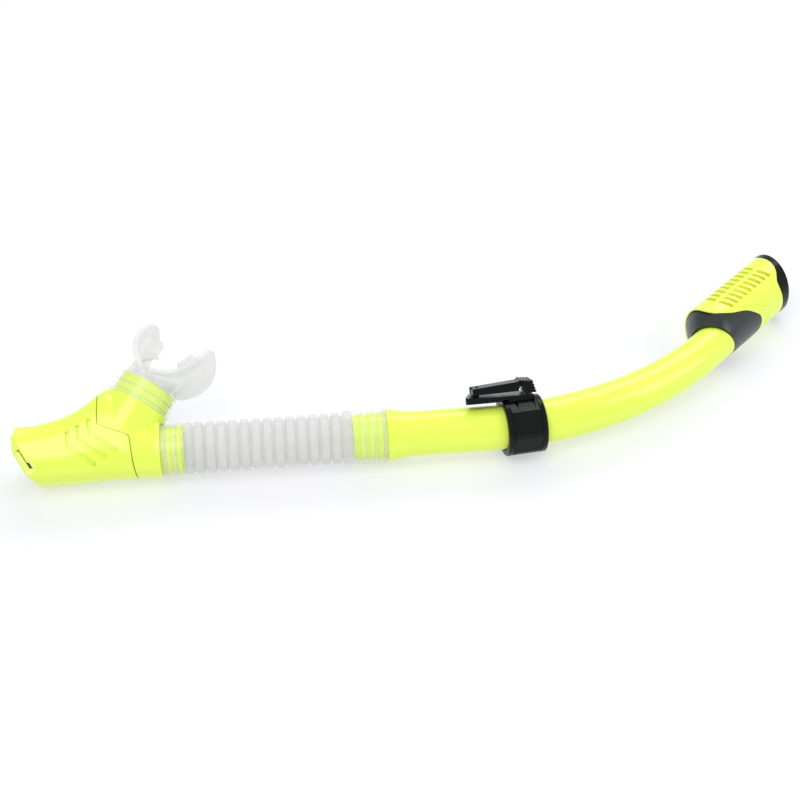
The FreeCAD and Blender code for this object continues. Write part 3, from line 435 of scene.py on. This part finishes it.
def make_flex_tube():
    """The corrugated tube, built straight between its two cuffs."""
    low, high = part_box("flex_tube")
    axis = Vector(JOINTS["flex_twist"]["pos_m"])
    place = Matrix.Translation(Vector((0, axis.y, axis.z)))
    mesh = ring_mesh("corrugated_tube", revolved(flex_profile(low.x, high.x), place))
    tube = add_object("corrugated_tube", mesh, CLEAR)
    clear_over_spigots(
        mesh,
        lambda p: p.x - low.x < LOWER_SPIGOT_LENGTH or high.x - p.x < UPPER_SPIGOT_LENGTH,
        lambda p: within(p.x - low.x, LOWER_STRETCHED) or within(high.x - p.x, UPPER_STRETCHED),
    )
    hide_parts("flex_tube")
    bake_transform(tube)


# ---------------------------------------------------------------- mouthpiece

# Sizes of the mouthpiece in its own frame are in millimetres, turned into metres at the end
VOXEL = 0.45 * MM
SMOOTH_FACTOR = 0.5
SMOOTH_ROUNDS = 7
COLLAR_SEGMENTS = 128
COLLAR = (
    (31.8, 18.0), (32.3, 18.4), (35.0, 18.4), (35.5, 18.0), (36.1, 17.8), (39.0, 17.8),
    (39.5, 17.4), (40.1, 17.2), (43.2, 17.2), (44.2, 16.2), (46.0, 14.6), (46.0, 12.4),
    (44.0, 12.4), (43.8, 16.3), (31.8, 16.3),
)
SHIELD_FOOT = 46.5
SHIELD_DEEP = 23.7
SHIELD_WIDE = 21.7
SHIELD_TILT = math.radians(-16.3)
SHIELD_RISE = 0.9
SHIELD_WALL = 2.2
SHIELD_HALF_TURN = math.radians(112.0)
TIP_TURN = math.radians(40.0)
UPPER_HALF = 10.4
LOWER_HALF = 16.5
LOWER_WAIST = 8.5
WAIST_TURN = 0.8
SHIELD_STEPS = 96
SHIELD_ACROSS = 20
SMALLEST_ROUNDING = 0.05
BEAD_HEIGHT = 0.4
BEAD_FROM = 0.82
COLLAR_OVER_PORT = (31.5, 43.8)
COLLAR_STRETCHED = ((33.4, 36.4), (37.0, 39.3), (40.0, 43.4))
NECK_STEPS = 10
NECK_SEGMENTS = 96
# along, half width, half height
NECK_FROM = (43.0, 15.4, 15.4)
NECK_TO = (46.5, 16.5, 8.6)
NECK_WALL = 2.4
BITE_FROM, BITE_TO = math.radians(44.0), math.radians(94.0)
BITE_REACH = 11.8
BITE_HALF_THICKNESS = 1.5
BITE_LIP_HALF = 3.4
BITE_LIP_WALL = 1.7
BITE_LIP_SHRINK = 0.05
BITE_PLATE_INNER = 1.0
BITE_STEPS = 16


def port_frame():
    """Frame of the mouthpiece: x out of the port, z across the mouth."""
    joint = JOINTS["mouthpiece_swivel"]
    out = Vector(joint["axis"]).normalized()
    place = Matrix.Rotation(CHAMBER_ROLL, 4, "X") @ Matrix.Rotation(PORT_ANGLE, 4, "Z")
    place = place @ Matrix.Rotation(SWIVEL, 4, "X")
    return Matrix.Translation(Vector(joint["pos_m"]) - out * PORT_ORIGIN_TO_JOINT) @ place


def thick_sheet(rows_out, rows_in):
    """Vertices and faces of a closed sheet between two equal grids of points."""
    count, size = len(rows_out), len(rows_out[0])
    points = [p for row in rows_out for p in row] + [p for row in rows_in for p in row]
    back = count * size
    faces = []
    for i in range(count - 1):
        for j in range(size - 1):
            a, b = i * size + j, (i + 1) * size + j
            faces.append((a, b, b + 1, a + 1))
            faces.append((back + a, back + a + 1, back + b + 1, back + b))
    rim = list(range(size)) + [(i + 1) * size + size - 1 for i in range(count - 1)]
    rim += [(count - 1) * size + j for j in range(size - 2, -1, -1)]
    rim += [i * size for i in range(count - 2, 0, -1)]
    for a, b in zip(rim, rim[1:] + rim[:1]):
        faces.append((a, b, back + b, back + a))
    return points, faces


def shield_point(turn, inward, y):
    """A point of the shield: its turn from the middle, depth inside its outer face, height."""
    along = SHIELD_DEEP - (SHIELD_DEEP - inward) * math.cos(turn)
    lean, rise = math.sin(SHIELD_TILT), math.cos(SHIELD_TILT)
    x = SHIELD_FOOT + along * rise - y * lean
    return (x, along * lean + y * rise + SHIELD_RISE, (SHIELD_WIDE - inward) * math.sin(turn))


def shield():
    """The curved shield: deeper below, waisted in the middle, round at its wing ends."""
    rows_out, rows_in = [], []
    for i in range(SHIELD_STEPS + 1):
        turn = SHIELD_HALF_TURN * (2 * i / SHIELD_STEPS - 1)
        from_tip = (SHIELD_HALF_TURN - abs(turn)) / TIP_TURN
        rounding = math.sqrt(max(1 - max(1 - from_tip, 0) ** 2, 0.0))
        rounding = max(rounding, SMALLEST_ROUNDING)
        lower = LOWER_WAIST + (LOWER_HALF - LOWER_WAIST) * smooth_step(abs(turn) / WAIST_TURN)
        outer, inner = [], []
        for j in range(SHIELD_ACROSS + 1):
            v = 2 * j / SHIELD_ACROSS - 1
            bead = BEAD_HEIGHT * smooth_step((abs(v) - BEAD_FROM) / (1 - BEAD_FROM))
            y = v * rounding * (UPPER_HALF if v > 0 else lower)
            outer.append(shield_point(turn, -bead, y))
            inner.append(shield_point(turn, SHIELD_WALL + bead, y))
        rows_out.append(outer)
        rows_in.append(inner)
    return thick_sheet(rows_out, rows_in)


def bite_tab(side):
    """One plate between the teeth with a lip on both sides of its inner edge."""
    pieces = []
    spans = (
        (BITE_REACH, BITE_PLATE_INNER, BITE_HALF_THICKNESS, 0.0),
        (BITE_REACH, BITE_REACH - BITE_LIP_WALL, BITE_LIP_HALF, BITE_LIP_SHRINK),
    )
    for low, high, half, shrink in spans:
        rows_out, rows_in = [], []
        for i in range(BITE_STEPS + 1):
            share = shrink + (1 - 2 * shrink) * i / BITE_STEPS
            turn = side * (BITE_FROM + (BITE_TO - BITE_FROM) * share)
            rows_out.append([shield_point(turn, inward, -half) for inward in (low, high)])
            rows_in.append([shield_point(turn, inward, half) for inward in (low, high)])
        pieces.append(thick_sheet(rows_out, rows_in))
    return pieces


def neck():
    """The tube between the round collar and the shield, which flattens on its way."""
    walls = []
    for wall in (0.0, NECK_WALL):
        rings = []
        for i in range(NECK_STEPS + 1):
            share = i / NECK_STEPS
            blend = smooth_step(share)
            ring = []
            for j in range(NECK_SEGMENTS):
                turn = 2 * math.pi * j / NECK_SEGMENTS
                wide = NECK_FROM[1] + (NECK_TO[1] - NECK_FROM[1]) * blend - wall
                high = NECK_FROM[2] + (NECK_TO[2] - NECK_FROM[2]) * blend - wall
                z, y = wide * math.sin(turn), high * math.cos(turn)
                end = shield_point(math.asin(z / SHIELD_WIDE), SHIELD_WALL / 2, y)
                x = NECK_FROM[0] + (end[0] - NECK_FROM[0]) * share
                ring.append((x, y + (end[1] - y) * blend, z))
            rings.append(ring)
        walls.append(rings)
    return ring_shell(walls[0] + walls[1][::-1])


def collar():
    """The stepped collar that turns on the port."""
    return ring_shell(revolved(COLLAR, Matrix.Identity(4), COLLAR_SEGMENTS))


def outward(mesh):
    """Turns all faces of each closed shell to look outward."""
    work = bmesh.new()
    work.from_mesh(mesh)
    bmesh.ops.recalc_face_normals(work, faces=work.faces)
    work.to_mesh(mesh)
    work.free()


def apply_modifiers(piece):
    """Leaves the piece with its finished mesh and no modifiers."""
    graph = bpy.context.evaluated_depsgraph_get()
    finished = bpy.data.meshes.new_from_object(piece.evaluated_get(graph))
    piece.modifiers.clear()
    piece.data = finished


def make_mouthpiece():
    """The silicone mouthpiece: its shells merged into one skin and smoothed."""
    points, faces = [], []
    for shell in [collar(), neck(), shield()] + bite_tab(1) + bite_tab(-1):
        start = len(points)
        points += shell[0]
        faces += [tuple(start + k for k in face) for face in shell[1]]
    place = port_frame()
    mesh = bpy.data.meshes.new("mouthpiece_soft")
    mesh.from_pydata([tuple(place @ (Vector(p) * MM)) for p in points], [], faces)
    outward(mesh)
    piece = add_object("mouthpiece_soft", mesh, CLEAR)
    remesh = piece.modifiers.new("remesh", "REMESH")
    remesh.mode = "VOXEL"
    remesh.voxel_size = VOXEL
    smooth = piece.modifiers.new("smooth", "SMOOTH")
    smooth.factor = SMOOTH_FACTOR
    smooth.iterations = SMOOTH_ROUNDS
    apply_modifiers(piece)
    piece.data.shade_smooth()
    inward = place.inverted()
    clear_over_spigots(
        piece.data,
        lambda p: within((inward @ p).x / MM, (COLLAR_OVER_PORT,)),
        lambda p: within((inward @ p).x / MM, COLLAR_STRETCHED),
    )
    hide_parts("mouthpiece")
    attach(piece, "mouthpiece")


# ---------------------------------------------------------------- inside of the dry top

LINER_R = 16.0 * MM
LINER_WALL = 0.35 * MM
LINER_BEHIND = 13.8 * MM
LINER_AHEAD = 33.0 * MM


def make_liner():
    """The inner sleeve of the dry top that shows through the slots of its cover. Its orange is painted light: the
    yellow glow that the cover throws on the white parts inside.
    """
    joint = JOINTS["float_slide"]
    along = Vector(joint["axis"]).normalized()
    turn = math.atan2(along.y, along.x)
    pin = Vector(JOINTS["flap_close"]["pos_m"])
    aside = Vector((-along.y, along.x, 0.0))
    axis_point = pin - aside * FLAP_PIN_ASIDE - along * FLAP_PIN_AHEAD
    place = Matrix.Translation(axis_point) @ Matrix.Rotation(turn, 4, "Z")
    profile = [(-LINER_BEHIND, LINER_R), (LINER_AHEAD, LINER_R)]
    profile += [(LINER_AHEAD, LINER_R - LINER_WALL), (-LINER_BEHIND, LINER_R - LINER_WALL)]
    mesh = ring_mesh("dry_top_liner", revolved(profile, place))
    liner = add_object("dry_top_liner", mesh, LINER_PAINTED_GLOW)
    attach(liner, "tube")


# ---------------------------------------------------------------- assembly

make_camera()
make_studio()
dress_nodes()
make_flex_tube()
make_mouthpiece()
make_liner()
